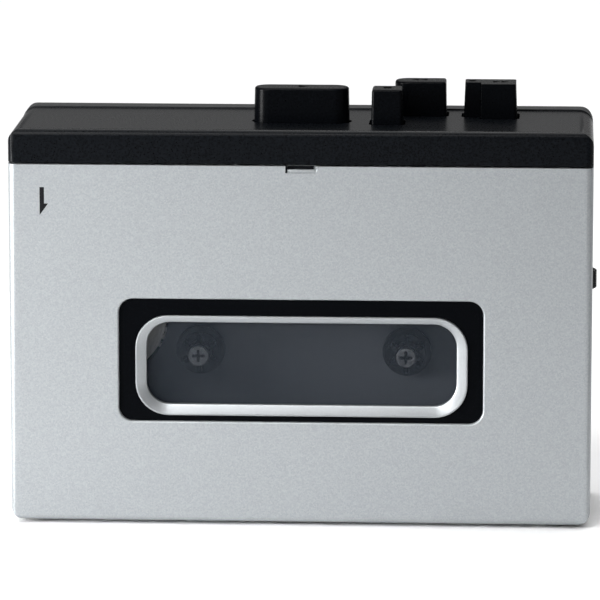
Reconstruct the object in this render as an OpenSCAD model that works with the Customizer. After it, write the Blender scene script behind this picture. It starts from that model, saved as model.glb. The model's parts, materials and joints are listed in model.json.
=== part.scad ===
// Portable cassette player with a swing-down door, five top keys and a twin-capstan tape deck.
// Millimetres. X runs to the right, Y to the back, Z up. The origin is the middle of the base.
// Depths called t are counted from the front face of the closed door.

/* [Case] */
// Width of the case over its side walls
case_width = 118; // [117:0.5:122]
// Height of the case to the flat of the top panel
case_height = 81.5; // [80:0.5:85]
// Depth of the case from the door to the back
case_depth = 36; // [36:0.5:40]
// Thickness of the moulded side walls
wall = 1.8; // [1.6:0.1:2]
// Radius of the case corners seen from the front
corner_radius = 3; // [2.5:0.1:4]
// Radius of the moulded edges between the faces
edge_radius = 1.5; // [1.2:0.1:1.7]
// Height of the black band that the top panel shows at the front
cap_height = 6.8; // [6.6:0.1:7]

/* [Door] */
// Depth of the door's side skirts
door_depth = 12.4; // [11.4:0.1:12.4]
// Thickness of the door's front wall
door_wall = 2.2; // [2:0.1:2.4]
// Depth of the hinge axis behind the front face
hinge_depth = 3.4; // [3.3:0.1:3.6]
// Height of the hinge axis above the base
hinge_height = 4.2; // [4.2:0.1:4.5]
// Radius of the hinge pins
hinge_pin_radius = 0.9; // [0.8:0.05:1]
// How far the door's lower edge stands above the base
door_lift = 0.8; // [0.8:0.05:1]

/* [Window] */
// Width of the black inset round the window
inset_width = 73.8; // [72:0.2:76]
// Height of the black inset round the window
inset_height = 25.2; // [24.8:0.2:27]
// Height of the lower edge of the inset above the base
inset_base = 21.7; // [21:0.1:22.5]
// Width of the inset's border at the left and right of the window bezel
inset_border = 3.2; // [2.8:0.1:3.6]
// Outer height of the window bezel
bezel_height = 20.6; // [20:0.2:21]
// Width of the sloped band of the bezel
bezel_band = 2.3; // [2:0.1:2.5]

/* [Keys] */
// Height of the key tops above the top panel
key_height = 7.1; // [6:0.1:8]
// Travel of each key
key_travel = 2.6; // [2:0.1:2.6]
// Gap between a key and the edge of its slot
key_gap = 0.4; // [0.35:0.05:0.5]
// Radius of the rounded edge round a key top
key_round = 0.8; // [0.5:0.1:1]

/* [Tape deck] */
// Distance between the reel axes, which the cassette standard sets
reel_spacing = 42.5; // [42.5:0.1:42.7]
// How far the reel axes lie below the flat of the top panel
reel_drop = 48; // [47.5:0.1:48]
// Radius of the disc at the foot of a spindle
spindle_disc = 5; // [4.6:0.1:5.4]
// Number of vanes on a spindle
spindle_vanes = 6; // [6:1:6]
// Radius of the steel shafts of the deck
shaft_radius = 1; // [0.9:0.05:1.1]
// Running clearance of the shafts, on the radius
shaft_clearance = 0.05; // [0.03:0.01:0.08]
// Teeth on the gear behind each reel
reel_teeth = 30; // [29:1:31]
// Teeth on the relay gear
relay_teeth = 41; // [41:1:41]
// Gap between the flywheels and the key guide above them
flywheel_gap = 0.4; // [0.4:0.1:1]
// Radius of the pinch rollers
pinch_radius = 4.2; // [3.9:0.1:4.3]
// Angle through which a pinch arm swings
pinch_swing = 14; // [10:1:14]

/* [Controls and power] */
// Radius of the volume dial
dial_radius = 6.5; // [6.2:0.1:6.6]
// How far the volume dial stands out of the side wall
dial_proud = 1; // [0.8:0.1:1.4]
// Radius of the headphone plug bore
plug_radius = 1.8; // [1.75:0.05:1.9]
// Distance from the side of the case to the end of the battery door
battery_door_end = 6.7; // [6.6:0.1:7.5]
// Turns of each key spring
spring_turns = 5; // [4:1:6]

/* [Hidden] */
$fn = 64;

half_w = case_width / 2;
in_w = half_w - wall;
cap_z = case_height - cap_height;
ceiling = case_height - 1.6;
deck_t = case_depth - 18;
frame_t = door_depth + 0.4;
part_t = case_depth - 5.8;
back_t = case_depth - wall;
sweep_r = cap_z - 0.35 - hinge_height;
heel_r = door_depth - hinge_depth;
lug_x0 = in_w - 5.2;
lug_x1 = in_w - 1.2;

// Window: the inset sits a little right of the middle and the bezel sits low in it
inset_x0 = 0.2 - inset_width / 2;
inset_x1 = 0.2 + inset_width / 2;
bezel_width = inset_width - 2 * inset_border;
bezel_x0 = 0.3 - bezel_width / 2;
bezel_x1 = 0.3 + bezel_width / 2;
bezel_z0 = inset_base + 1.2;
bezel_z1 = bezel_z0 + bezel_height;
inset_floor = 1.6;

// Deck: every height follows from the reel axes, as it does on a cassette
reel_x = reel_spacing / 2;
reel_height = case_height - reel_drop;
capstan_x = 27.5;
capstan_z = reel_height + 29.1;
flange_z = ceiling - 1;
guide_z0 = flange_z - 6.5;
stem_z = guide_z0 - 0.2;
flywheel_radius = guide_z0 - capstan_z - flywheel_gap;
bridge_z1 = stem_z - 0.3;
pivot_x = 39;
pivot_z = capstan_z + 5.9;
arm_len = 11.5;
arm_rest = pinch_swing - 2.5;
roller_x = pivot_x - arm_len * cos(arm_rest);
roller_z = pivot_z + arm_len * sin(arm_rest);

// Relay wheel and gears: the tooth size is set by the distance between the two axes
relay_x = 16.2 - in_w;
relay_z = reel_height + 6.5;
mesh_d = norm([relay_x + reel_x, relay_z - reel_height]);
mesh_a = atan2(reel_height - relay_z, relay_x * -1 - reel_x);
tooth = 2 * mesh_d / (reel_teeth + relay_teeth);
relay_disc = 0.6 * mesh_d;
motor_d = flywheel_radius + 5.8;
motor_x = capstan_x + motor_d * cos(18);
motor_z = capstan_z - motor_d * sin(18);
motor_r = 8.4;
groove_t = deck_t + 3.9;
belt_gap = 0.12;
belt_thick = 0.8;

// Bosses carry the deck screws from the front and the case screws from the back
boss_x = in_w - 3.7;
bay_z1 = reel_height - 13.9;
bay_x = in_w - 3.6;
bay_mid = bay_z1 / 2 + 1;
boss_z = [bay_z1 + 4.9, case_height - 11.5];
dial_x = half_w + dial_proud - dial_radius;
dial_t = case_depth - 12;
dial_z0 = reel_height + 12.5;
jack_t = case_depth - 11.5;
jack_z = reel_height + 28.5;
power_t = case_depth - 10;
power_z = reel_height + 17.5;

// Keys: left, right, front and rear faces, corner radii, flange reach on each side, stem centre
play = [-10, 9.5, deck_t - 7.4, deck_t - 1];
stop = [13.9, 20.4, deck_t - 8.8, deck_t - 2];
rewind = [18.2, 29, deck_t + 3.5, deck_t + 9.8];
record = [32.4, 35.85, deck_t + 2.9, deck_t + 8.2];
forward = [36.15, 43.5, deck_t + 0.5, deck_t + 8.2];
play_round = [3.1, 3.1, 3.1, 3.1];
stop_round = [0.7, 0.7, 0.7, 0.7];
rewind_round = [3, 0.6, 0.6, 3];
record_round = [0.5, 0.4, 0.4, 0.5];
forward_round = [0.4, 0.7, 0.7, 0.4];
full_reach = [0.9, 0.9, 0.9, 0.9];
record_reach = [0.9, 0, 0.9, 0.9];
forward_reach = [0, 0.9, 0.9, 0.9];
play_stem = [0, deck_t - 4.2];
stop_stem = [17.2, deck_t - 5.3];
rewind_stem = [23.6, deck_t + 8.3];
record_stem = [34.1, deck_t + 7.4];
forward_stem = [40.6, deck_t + 7.3];

// Small tools

function yy(t) = t - case_depth / 2;

module span(x0, x1, t0, t1, z0, z1)
    translate([x0, yy(t0), z0]) cube([x1 - x0, t1 - t0, z1 - z0]);

module y_rod(x, z, r, t0, t1)
    translate([x, yy(t0), z]) rotate([-90, 0, 0]) cylinder(r = r, h = t1 - t0);

module y_cone(x, z, ra, rb, t0, t1)
    translate([x, yy(t0), z]) rotate([-90, 0, 0]) cylinder(r1 = ra, r2 = rb, h = t1 - t0);

module z_rod(x, t, r, z0, z1)
    translate([x, yy(t), z0]) cylinder(r = r, h = z1 - z0);

module x_rod(t, z, r, x0, x1)
    translate([x0, yy(t), z]) rotate([0, 90, 0]) cylinder(r = r, h = x1 - x0);

// A drawing in X and Z, pushed along the depth from t0 to t1
module front(t0, t1)
    translate([0, yy(t1), 0]) rotate([90, 0, 0]) linear_extrude(t1 - t0) children();

// A drawing in X and Y, pushed up from z0 to z1
module plan(z0, z1)
    translate([0, 0, z0]) linear_extrude(z1 - z0) children();

// A drawing in Y and Z, pushed across from x0 to x1
module side(x0, x1)
    translate([x0, 0, 0]) rotate([90, 0, 90]) linear_extrude(x1 - x0) children();

module area(x0, x1, y0, y1)
    translate([x0, y0]) square([x1 - x0, y1 - y0]);

module rounded(x0, x1, y0, y1, r) {
    area(x0 + r, x1 - r, y0, y1);
    area(x0, x1, y0 + r, y1 - r);
    for (x = [x0 + r, x1 - r], y = [y0 + r, y1 - r])
        translate([x, y]) circle(r);
}

// Corner radii run from front left round to rear left
module four_round(x0, x1, y0, y1, rr) {
    at = [[x0, y0, 1, 1], [x1, y0, -1, 1], [x1, y1, -1, -1], [x0, y1, 1, -1]];
    difference() {
        area(x0, x1, y0, y1);
        for (i = [0:3])
            translate([at[i][0], at[i][1]]) scale([1, 1]) difference() {
                translate([at[i][2] > 0 ? -1 : -rr[i], at[i][3] > 0 ? -1 : -rr[i]])
                    square(rr[i] + 1);
                translate([at[i][2] * rr[i], at[i][3] * rr[i]]) circle(rr[i]);
            }
    }
}

module both_sides() {
    children();
    mirror([1, 0, 0]) children();
}

// Straight-flanked gear in the X and Z drawing, with backlash, a tooth at angle a0
module gear_outline(teeth, m, a0) {
    r = teeth * m / 2;
    step = 360 / teeth;
    half_root = 90 / teeth * 1.25;
    half_tip = 90 / teeth * 0.42;
    polygon([for (i = [0:teeth - 1], k = [0:3])
        let (a = a0 + i * step + [-half_root, -half_tip, half_tip, half_root][k],
            q = k == 0 || k == 3 ? r - 1.2 * m : r + 0.9 * m)
        [q * cos(a), q * sin(a)]]);
}

// Wire coil along Z from z = 0 to z = len
module coil(r, wire, turns, len) {
    sides = 6;
    steps = turns * 12;
    rise = (len - 2 * wire) / steps;
    ring = [for (i = [0:steps], k = [0:sides - 1])
        let (a = i * 30, b = k * 360 / sides, q = r + wire * cos(b))
        [q * cos(a), q * sin(a), wire + i * rise + wire * sin(b)]];
    walls = [for (i = [0:steps - 1], k = [0:sides - 1])
        let (n = (k + 1) % sides)
        [i * sides + k, i * sides + n, (i + 1) * sides + n, (i + 1) * sides + k]];
    ends = [[for (k = [sides - 1:-1:0]) k], [for (k = [0:sides - 1]) steps * sides + k]];
    polyhedron(points = ring, faces = concat(ends, walls), convexity = 6);
}

module screw_head(x, z, r, t0, t1, facing) {
    deep = facing > 0 ? [t1 - 0.5, t1 + 0.1] : [t0 - 0.1, t0 + 0.5];
    difference() {
        y_rod(x, z, r, t0, t1);
        span(x - 0.65 * r, x + 0.65 * r, deep[0], deep[1], z - 0.15 * r, z + 0.15 * r);
        span(x - 0.15 * r, x + 0.15 * r, deep[0], deep[1], z - 0.65 * r, z + 0.65 * r);
    }
}

// Casing

// Hollow band of the case between two depths, with the base corners rounded
module case_band(t0, t1, z1, top_round) {
    difference() {
        front(t0, t1)
            rounded(-half_w, half_w, 0, z1 + (top_round ? 0 : 10), corner_radius);
        front(t0 - 1, t1 + 1)
            rounded(-in_w, in_w, wall, z1 + (top_round ? -wall : 10), corner_radius - 1);
        if (!top_round)
            span(-half_w - 1, half_w + 1, t0 - 1, t1 + 1, z1, z1 + 20);
    }
}

module bosses(t0, t1) {
    both_sides() {
        for (z = boss_z)
            y_rod(boss_x, z, 2.6, t0, t1);
        span(boss_x, in_w + 0.5, t0, t1, boss_z[1] - 1.2, boss_z[1] + 1.2);
        span(boss_x - 1.2, boss_x + 1.2, t0, t1, bay_z1 + 1, boss_z[0]);
        span(boss_x, in_w + 0.5, t0, t1, boss_z[0] - 1.2, boss_z[0] + 1.2);
    }
}

module main_frame() color([0.1, 0.1, 0.11]) {
    difference() {
        union() {
            case_band(frame_t, part_t, cap_z, false);
            span(-in_w - 0.5, in_w + 0.5, deck_t + 1.2, part_t, bay_z1, bay_z1 + 1.4);
            bosses(deck_t + 1.2, part_t);
            both_sides() {
                span(bay_x, bay_x + 1.4, deck_t + 1.2, part_t, wall - 0.5, bay_z1 + 0.5);
                span(in_w - 2, in_w + 0.5, deck_t + 1.2, deck_t + 2.4, bay_z1 + 8.4, bay_z1 + 20.4);
                span(in_w - 2, in_w + 0.5, deck_t + 1.2, deck_t + 2.4, dial_z0 + 8, dial_z0 + 20);
                span(lug_x0, lug_x1, hinge_depth, deck_t - 0.1, hinge_height - 1.5, hinge_height + 1.5);
                x_rod(hinge_depth, hinge_height, 1.5, lug_x0, lug_x1);
                span(lug_x0, lug_x1, frame_t, deck_t - 0.1, wall - 0.5, hinge_height + 1.5);
            }
        }
        both_sides() {
            x_rod(hinge_depth, hinge_height, hinge_pin_radius, lug_x0 - 1, lug_x1 + 1);
            for (z = boss_z)
                y_rod(boss_x, z, 1.1, deck_t, part_t + 1);
        }
        span(in_w - 0.1, half_w + 1, dial_t - 6, dial_t + 6, dial_z0 - 0.4, dial_z0 + 3.8);
        x_rod(jack_t, jack_z, 2.9, -half_w - 1, -in_w + 0.1);
        x_rod(power_t, power_z, 3.2, -half_w - 1, -in_w + 0.1);
    }
}

module rear_cover() color([0.12, 0.12, 0.13]) {
    half_l = half_w - battery_door_end + 0.3;
    difference() {
        union() {
            difference() {
                intersection() {
                    front(part_t, case_depth)
                        rounded(-half_w, half_w, 0, case_height, corner_radius);
                    plan(-1, case_height + 1)
                        rounded(-half_w, half_w, yy(0), yy(case_depth), edge_radius);
                    side(-half_w - 1, half_w + 1)
                        rounded(yy(0), yy(case_depth), 0, case_height, edge_radius);
                }
                front(part_t - 1, back_t)
                    rounded(-in_w, in_w, wall, case_height - 1.6, corner_radius - 1);
            }
            bosses(part_t, back_t + 0.2);
            span(-in_w - 0.5, in_w + 0.5, part_t, back_t + 0.2, bay_z1, bay_z1 + 1.4);
            both_sides()
                span(bay_x, bay_x + 1.4, part_t, back_t + 0.2, wall - 0.5, bay_z1 + 0.5);
        }
        span(-half_l, half_l, back_t - 1, case_depth + 1, 2.4, bay_z1 - 0.001);
        both_sides()
            for (z = boss_z) {
                y_rod(boss_x, z, 1.1, part_t - 1, case_depth);
                y_rod(boss_x, z, 2.5, case_depth - 1.4, case_depth + 1);
            }
    }
}

module key_slot(k, rr)
    plan(ceiling - 1, case_height + 1)
        four_round(k[0] - key_gap, k[1] + key_gap, yy(k[2] - key_gap), yy(k[3] + key_gap),
            [for (r = rr) r + key_gap]);

module top_panel() color([0.09, 0.09, 0.1]) {
    difference() {
        intersection() {
            front(0, part_t)
                rounded(-half_w, half_w, 0, case_height, corner_radius);
            plan(cap_z, case_height + 1)
                rounded(-half_w, half_w, yy(0), yy(case_depth), edge_radius);
            side(-half_w - 1, half_w + 1)
                rounded(yy(0), yy(case_depth), 0, case_height, edge_radius);
        }
        front(wall, part_t + 1)
            rounded(-in_w, in_w, 0, ceiling, corner_radius - 1);
        key_slot(play, play_round);
        key_slot(stop, stop_round);
        key_slot(rewind, rewind_round);
        key_slot([record[0], forward[1], record[2], record[3]], [0.5, 0.7, 0.7, 0.5]);
        key_slot(forward, forward_round);
    }
}

// Door

module door_shell() color([0.75, 0.76, 0.78]) {
    difference() {
        intersection() {
            front(0, door_depth)
                rounded(-half_w, half_w, door_lift, cap_z + 20, corner_radius);
            plan(0, cap_z + 1)
                rounded(-half_w, half_w, yy(0), yy(case_depth), edge_radius);
            side(-half_w - 1, half_w + 1)
                intersection() {
                    rounded(yy(0), yy(case_depth), door_lift, cap_z + 20, edge_radius);
                    translate([yy(hinge_depth), hinge_height]) circle(sweep_r, $fn = 256);
                    union() {
                        area(yy(-1), yy(case_depth), hinge_height, cap_z + 1);
                        translate([yy(hinge_depth), hinge_height]) circle(heel_r);
                    }
                }
        }
        span(-in_w, in_w, door_wall, door_depth + 1, door_lift + 1.2, cap_z + 1);
        front(-1, inset_floor)
            rounded(inset_x0, inset_x1, inset_base, inset_base + inset_height, 2.9);
        front(-1, door_wall + 1)
            rounded(bezel_x0 + 1.3, bezel_x1 - 1.3, bezel_z0 + 1.3, bezel_z1 - 0.8, 5.5);
        both_sides() {
            span(lug_x0 - 0.6, lug_x1 + 0.6, hinge_depth - 1.85, door_depth + 1,
                door_lift - 1, hinge_height + 1.9);
            x_rod(hinge_depth, hinge_height, hinge_pin_radius + shaft_clearance, in_w - 1, half_w - 0.6);
        }
        side(-2.9, 3.2)
            polygon([[yy(-1), cap_z - 1.9], [yy(0), cap_z - 1.9], [yy(1.1), cap_z - 0.95],
                [yy(1.1), cap_z + 1], [yy(-1), cap_z + 1]]);
    }
}

module window_surround() color([0.03, 0.03, 0.035]) {
    difference() {
        front(0.6, inset_floor)
            rounded(inset_x0, inset_x1, inset_base, inset_base + inset_height, 2.9);
        front(0, inset_floor + 1)
            rounded(bezel_x0, bezel_x1, bezel_z0, bezel_z1, 6.7);
    }
}

module window_bezel() color([0.7, 0.71, 0.73]) {
    b = bezel_band;
    difference() {
        front(0.15, inset_floor)
            rounded(bezel_x0, bezel_x1, bezel_z0, bezel_z1, 6.7);
        hull() {
            front(0.05, 0.15)
                rounded(bezel_x0 + 0.3, bezel_x1 - 0.3, bezel_z0 + 0.3, bezel_z1 - 0.3, 6.4);
            front(1.2, 1.3)
                rounded(bezel_x0 + b, bezel_x1 - b, bezel_z0 + b, bezel_z1 - b * 0.65, 4.6);
        }
        front(1, inset_floor + 1)
            rounded(bezel_x0 + b, bezel_x1 - b, bezel_z0 + b, bezel_z1 - b * 0.65, 4.6);
    }
}

module window_lens() color([0.25, 0.28, 0.33, 0.6])
    front(inset_floor, door_wall + 0.4)
        rounded(bezel_x0 + 1.3, bezel_x1 - 1.3, bezel_z0 + 1.3, bezel_z1 - 0.8, 5.5);

module cassette_holder() color([0.11, 0.11, 0.12]) {
    top = reel_height + 34;
    foot = door_lift + 8.2;
    both_sides() {
        span(in_w - 6.5, in_w - 5.2, door_wall, deck_t - 2.2, foot, top);
        span(in_w - 8.8, in_w - 6.2, deck_t - 3.2, deck_t - 2.2, foot, top - 8);
        span(in_w - 11.2, in_w - 6.2, door_wall, door_wall + 3.2, foot, foot + 2);
        span(in_w - 11.2, in_w - 6.2, door_wall, door_wall + 3.2, top - 3, top);
        span(in_w - 6.2, in_w, door_wall, door_wall + 1.4, foot + 3, top - 4);
    }
}

module cassette_springs() color([0.62, 0.63, 0.65])
    both_sides()
        side(38, 43) {
            n = 12;
            arc = [for (i = [0:n]) let (u = i / n)
                [door_wall + 2.6 * sin(180 * u), reel_height - 1.5 + 26 * u]];
            polygon(concat(
                [for (p = arc) [yy(p[0]), p[1]]],
                [for (i = [n:-1:0]) [yy(arc[i][0] + 0.4), arc[i][1]]]));
        }

// Deck

module deck_plate() color([0.2, 0.21, 0.24]) {
    z1 = guide_z0 - 0.4;
    difference() {
        front(deck_t, deck_t + 1.2)
            rounded(-in_w + 0.3, in_w - 0.3, wall + 0.4, z1, 1);
        for (s = [-1, 1]) {
            y_rod(s * reel_x, reel_height, 2.2, deck_t - 1, deck_t + 2);
            y_rod(s * capstan_x, capstan_z, 2.2, deck_t - 1, deck_t + 2);
            for (z = boss_z)
                y_rod(s * boss_x, z, 1.1, deck_t - 1, deck_t + 2);
        }
        y_rod(relay_x, relay_z, relay_disc + 0.5, deck_t - 1, deck_t + 2);
        span(dial_x - dial_radius, half_w, deck_t - 1, deck_t + 2, dial_z0 - 0.6, dial_z0 + 4);
        front(deck_t - 1, deck_t + 2)
            rounded(-12, 12, reel_height + 9, reel_height + 17, 3);
    }
}

// Rest posts for the cassette, its two locating pins and the pivots of the pinch arms
module deck_pins() color([0.7, 0.71, 0.73])
    both_sides() {
        for (z = [bay_z1 - 5.6, reel_height + 22.5])
            y_rod(in_w - 13.2, z, 1.6, deck_t - 3.2, deck_t);
        y_cone(15, reel_height + 24.5, 1, 2.2, deck_t - 8, deck_t - 5);
        y_rod(15, reel_height + 24.5, 2.2, deck_t - 5, deck_t);
        y_rod(pivot_x, pivot_z, shaft_radius, deck_t - 4.6, deck_t);
    }

module ring(x, z, ra, rb, t0, t1)
    difference() {
        y_rod(x, z, ra, t0, t1);
        y_rod(x, z, rb, t0 - 1, t1 + 1);
    }

module reel_bushes() color([0.75, 0.6, 0.3])
    for (s = [-1, 1])
        ring(s * reel_x, reel_height, 2.2, shaft_radius + shaft_clearance, deck_t - 0.8, deck_t + 1.6);

module capstan_bushes() color([0.75, 0.6, 0.3])
    for (s = [-1, 1])
        ring(s * capstan_x, capstan_z, 2.2, shaft_radius + shaft_clearance, deck_t - 1.1, deck_t + 1.9);

module spindle(x) {
    difference() {
        union() {
            y_rod(x, reel_height, spindle_disc, deck_t - 2.6, deck_t - 1.4);
            y_rod(x, reel_height, spindle_disc - 1.2, deck_t - 3.4, deck_t - 2.5);
            y_rod(x, reel_height, 2.4, deck_t - 8, deck_t - 2.5);
            for (i = [1:spindle_vanes])
                translate([x, 0, reel_height]) rotate([0, i * 360 / spindle_vanes, 0])
                    side(-0.45, 0.45)
                        polygon([[yy(deck_t - 2.5), 1], [yy(deck_t - 2.5), 3.7],
                            [yy(deck_t - 6), 3.7], [yy(deck_t - 7.6), 2.3], [yy(deck_t - 7.6), 1]]);
        }
        y_rod(x, reel_height, shaft_radius, deck_t - 9, deck_t);
    }
}

module spindle_left() color([0.08, 0.08, 0.09]) spindle(-reel_x);

module spindle_right() color([0.08, 0.08, 0.09]) spindle(reel_x);

module spindle_screw(x) {
    screw_head(x, reel_height, 2, deck_t - 9.1, deck_t - 8, -1);
    y_rod(x, reel_height, shaft_radius, deck_t - 8, deck_t - 7);
}

module spindle_screw_left() color([0.75, 0.76, 0.78]) spindle_screw(-reel_x);

module spindle_screw_right() color([0.75, 0.76, 0.78]) spindle_screw(reel_x);

module reel_gear(x, a0) {
    y_rod(x, reel_height, shaft_radius, deck_t - 7, deck_t + 3.3);
    front(deck_t + 2, deck_t + 3.4)
        translate([x, reel_height]) gear_outline(reel_teeth, tooth, a0);
}

// A gap of the left reel gear faces the relay gear's tooth on the line between the two axes
module reel_gear_left() color([0.85, 0.84, 0.8])
    reel_gear(-reel_x, mesh_a + 180 + 180 / reel_teeth);

module reel_gear_right() color([0.85, 0.84, 0.8]) reel_gear(reel_x, 0);

module relay_wheel() color([0.72, 0.74, 0.76]) {
    difference() {
        union() {
            y_rod(relay_x, relay_z, relay_disc, deck_t + 0.3, deck_t + 1.5);
            y_rod(relay_x, relay_z, 3, deck_t + 1, groove_t + 2.4);
            front(deck_t + 2, deck_t + 3.4)
                translate([relay_x, relay_z]) gear_outline(relay_teeth, tooth, mesh_a);
            y_rod(relay_x, relay_z, 5, groove_t - 0.4, groove_t + 2);
            y_rod(relay_x, relay_z, 6, groove_t - 0.5, groove_t);
            y_rod(relay_x, relay_z, 6, groove_t + 1.8, groove_t + 2.3);
        }
        y_rod(relay_x, relay_z, shaft_radius + shaft_clearance, deck_t + 0.7, case_depth);
    }
}

module flywheel(x)
    difference() {
        y_rod(x, capstan_z, flywheel_radius, deck_t + 2.2, deck_t + 6.2);
        difference() {
            y_rod(x, capstan_z, flywheel_radius + 1, groove_t, groove_t + 1.8);
            y_rod(x, capstan_z, flywheel_radius - 0.6, groove_t - 1, groove_t + 3);
        }
        ring(x, capstan_z, flywheel_radius - 2, 3, deck_t + 5.4, deck_t + 7);
        y_rod(x, capstan_z, shaft_radius, deck_t, deck_t + 8);
    }

module flywheel_left() color([0.6, 0.6, 0.62]) flywheel(-capstan_x);

module flywheel_right() color([0.6, 0.6, 0.62]) flywheel(capstan_x);

module capstan_left() color([0.8, 0.8, 0.82])
    y_rod(-capstan_x, capstan_z, shaft_radius, deck_t - 9.4, deck_t + 8);

module capstan_right() color([0.8, 0.8, 0.82])
    y_rod(capstan_x, capstan_z, shaft_radius, deck_t - 9.4, deck_t + 8);

module motor_pulley() color([0.78, 0.65, 0.35]) {
    y_rod(motor_x, motor_z, 2.5, groove_t - 0.4, groove_t + 2.2);
    y_rod(motor_x, motor_z, 3.3, groove_t - 0.5, groove_t);
    y_rod(motor_x, motor_z, 3.3, groove_t + 1.8, groove_t + 2.3);
    y_rod(motor_x, motor_z, 0.75, groove_t - 0.5, deck_t + 9.6);
}

module motor() color([0.65, 0.66, 0.68])
    difference() {
        union() {
            y_rod(motor_x, motor_z, motor_r, deck_t + 9.2, back_t - 0.3);
            y_rod(motor_x, motor_z, 2.6, deck_t + 8.2, deck_t + 9.3);
        }
        y_rod(motor_x, motor_z, 0.75 + shaft_clearance, deck_t + 8, deck_t + 10.4);
    }

// Belt: signed radii tell on which side of the belt each wheel lies
belt_at = [[motor_x, motor_z], [capstan_x, capstan_z], [-capstan_x, capstan_z], [relay_x, relay_z]];
belt_add = belt_gap + belt_thick / 2;
belt_r = [2.5 + belt_add, -(flywheel_radius - 0.6 + belt_add), flywheel_radius - 0.6 + belt_add,
    5 + belt_add];
belt_n = len(belt_r);

function belt_dir(i) =
    let (j = (i + 1) % belt_n, v = belt_at[j] - belt_at[i])
    atan2(v[1], v[0]) - asin((belt_r[j] - belt_r[i]) / norm(v));

function belt_turn(i) =
    let (d = belt_dir(i) - belt_dir((i + belt_n - 1) % belt_n), w = d - 360 * floor(d / 360))
    belt_r[i] > 0 ? w : w - 360;

function belt_path(off) = [for (i = [0:belt_n - 1], k = [0:24])
    let (a = belt_dir((i + belt_n - 1) % belt_n) - 90 + belt_turn(i) * k / 24)
    belt_at[i] + (belt_r[i] + off) * [cos(a), sin(a)]];

module drive_belt() color([0.05, 0.05, 0.05])
    front(groove_t + 0.2, groove_t + 1.6)
        difference() {
            polygon(belt_path(belt_thick / 2));
            polygon(belt_path(-belt_thick / 2));
        }

module drive_bracket() color([0.7, 0.71, 0.72]) {
    low = reel_height + 8.5;
    high = reel_height + 30.5;
    post_x = -capstan_x - flywheel_radius - 3.1;
    post_at = [[-24, reel_height + 15.8], [0, reel_height + 20.5], [38, low], [post_x, high + 4.6]];
    stud_at = [[19.2 - in_w, high], [28, high], [21.2 - in_w, low], [26, low]];
    t0 = deck_t + 8.2;
    difference() {
        front(t0, t0 + 1) {
            area(12.8 - in_w, 43, low - 6, high + 4);
            area(36, motor_x + motor_r, reel_height + 17.9, high + 4);
            area(post_x - 2.2, post_x + 2.2, high + 2, high + 6.8);
        }
        y_rod(motor_x, motor_z, 2.6, t0 - 1, t0 + 2);
        front(t0 - 1, t0 + 2) rounded(-14, 18, low - 3, low + 7, 3);
    }
    for (p = post_at)
        y_rod(p[0], p[1], 2, deck_t + 1.2, t0 + 0.5);
    for (p = stud_at)
        y_rod(p[0], p[1], 1.6, t0 + 0.5, part_t);
    y_rod(relay_x, relay_z, shaft_radius, deck_t + 0.9, t0 + 0.5);
}

module bridge_screws() color([0.75, 0.76, 0.78])
    for (x = [-16, 16]) {
        y_rod(x, bridge_z1 - 4.5, shaft_radius, deck_t - 1.9, deck_t);
        screw_head(x, bridge_z1 - 4.5, 2.1, deck_t - 2.7, deck_t - 1.8, -1);
    }

module head_bridge() color([0.72, 0.73, 0.74]) {
    t0 = deck_t - 1.4;
    z1 = bridge_z1;
    difference() {
        front(t0, t0 + 1) {
            area(-24, 24, z1 - 6.4, z1);
            area(-8, 8, z1 - 7, z1);
        }
        for (x = [-16, 16])
            front(t0 - 1, t0 + 2) {
                area(x - 1.3, x + 1.3, z1 - 4.5, z1 - 4.5 + key_travel);
                translate([x, z1 - 4.5]) circle(1.3);
                translate([x, z1 - 4.5 + key_travel]) circle(1.3);
            }
    }
    span(-4, 4, deck_t - 5.4, t0 + 0.5, z1 - 0.8, z1);
    both_sides()
        span(5.4, 7.6, deck_t - 3.8, t0 + 0.5, z1 - 5.6, z1 - 1.2);
}

module tape_head() color([0.8, 0.8, 0.82])
    intersection() {
        span(-6.2, 6.2, deck_t - 11.6, deck_t - 3.8, bridge_z1 - 5.4, bridge_z1 - 0.9);
        y_rod(0, bridge_z1 + 3.6, 9, deck_t - 12, deck_t - 3);
    }

// Left-hand arm; the right-hand one is its mirror image
module pinch_arm() {
    t0 = deck_t - 3.8;
    difference() {
        union() {
            y_rod(-pivot_x, pivot_z, 2, t0, deck_t - 0.5);
            y_rod(-roller_x, roller_z, 1.8, t0, t0 + 1.2);
            front(t0, t0 + 1.2)
                translate([-pivot_x, pivot_z]) rotate(arm_rest) area(0, arm_len, -1.4, 1.4);
        }
        y_rod(-pivot_x, pivot_z, shaft_radius + shaft_clearance, t0 - 1, deck_t + 1);
    }
    y_rod(-roller_x, roller_z, 0.7, deck_t - 11.2, t0 + 0.5);
    y_rod(-roller_x, roller_z, 1.1, deck_t - 11.3, deck_t - 10.8);
}

module pinch_arm_left() color([0.72, 0.73, 0.74]) pinch_arm();

module pinch_arm_right() color([0.72, 0.73, 0.74]) mirror([1, 0, 0]) pinch_arm();

module pinch_roller_left() color([0.05, 0.05, 0.05])
    ring(-roller_x, roller_z, pinch_radius, 0.7 + shaft_clearance, deck_t - 10.4, deck_t - 4.6);

module pinch_roller_right() color([0.05, 0.05, 0.05])
    ring(roller_x, roller_z, pinch_radius, 0.7 + shaft_clearance, deck_t - 10.4, deck_t - 4.6);

module hinge_pins() color([0.75, 0.76, 0.78])
    both_sides()
        x_rod(hinge_depth, hinge_height, hinge_pin_radius, lug_x0 + 0.2, half_w - 0.9);

// Keys

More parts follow.
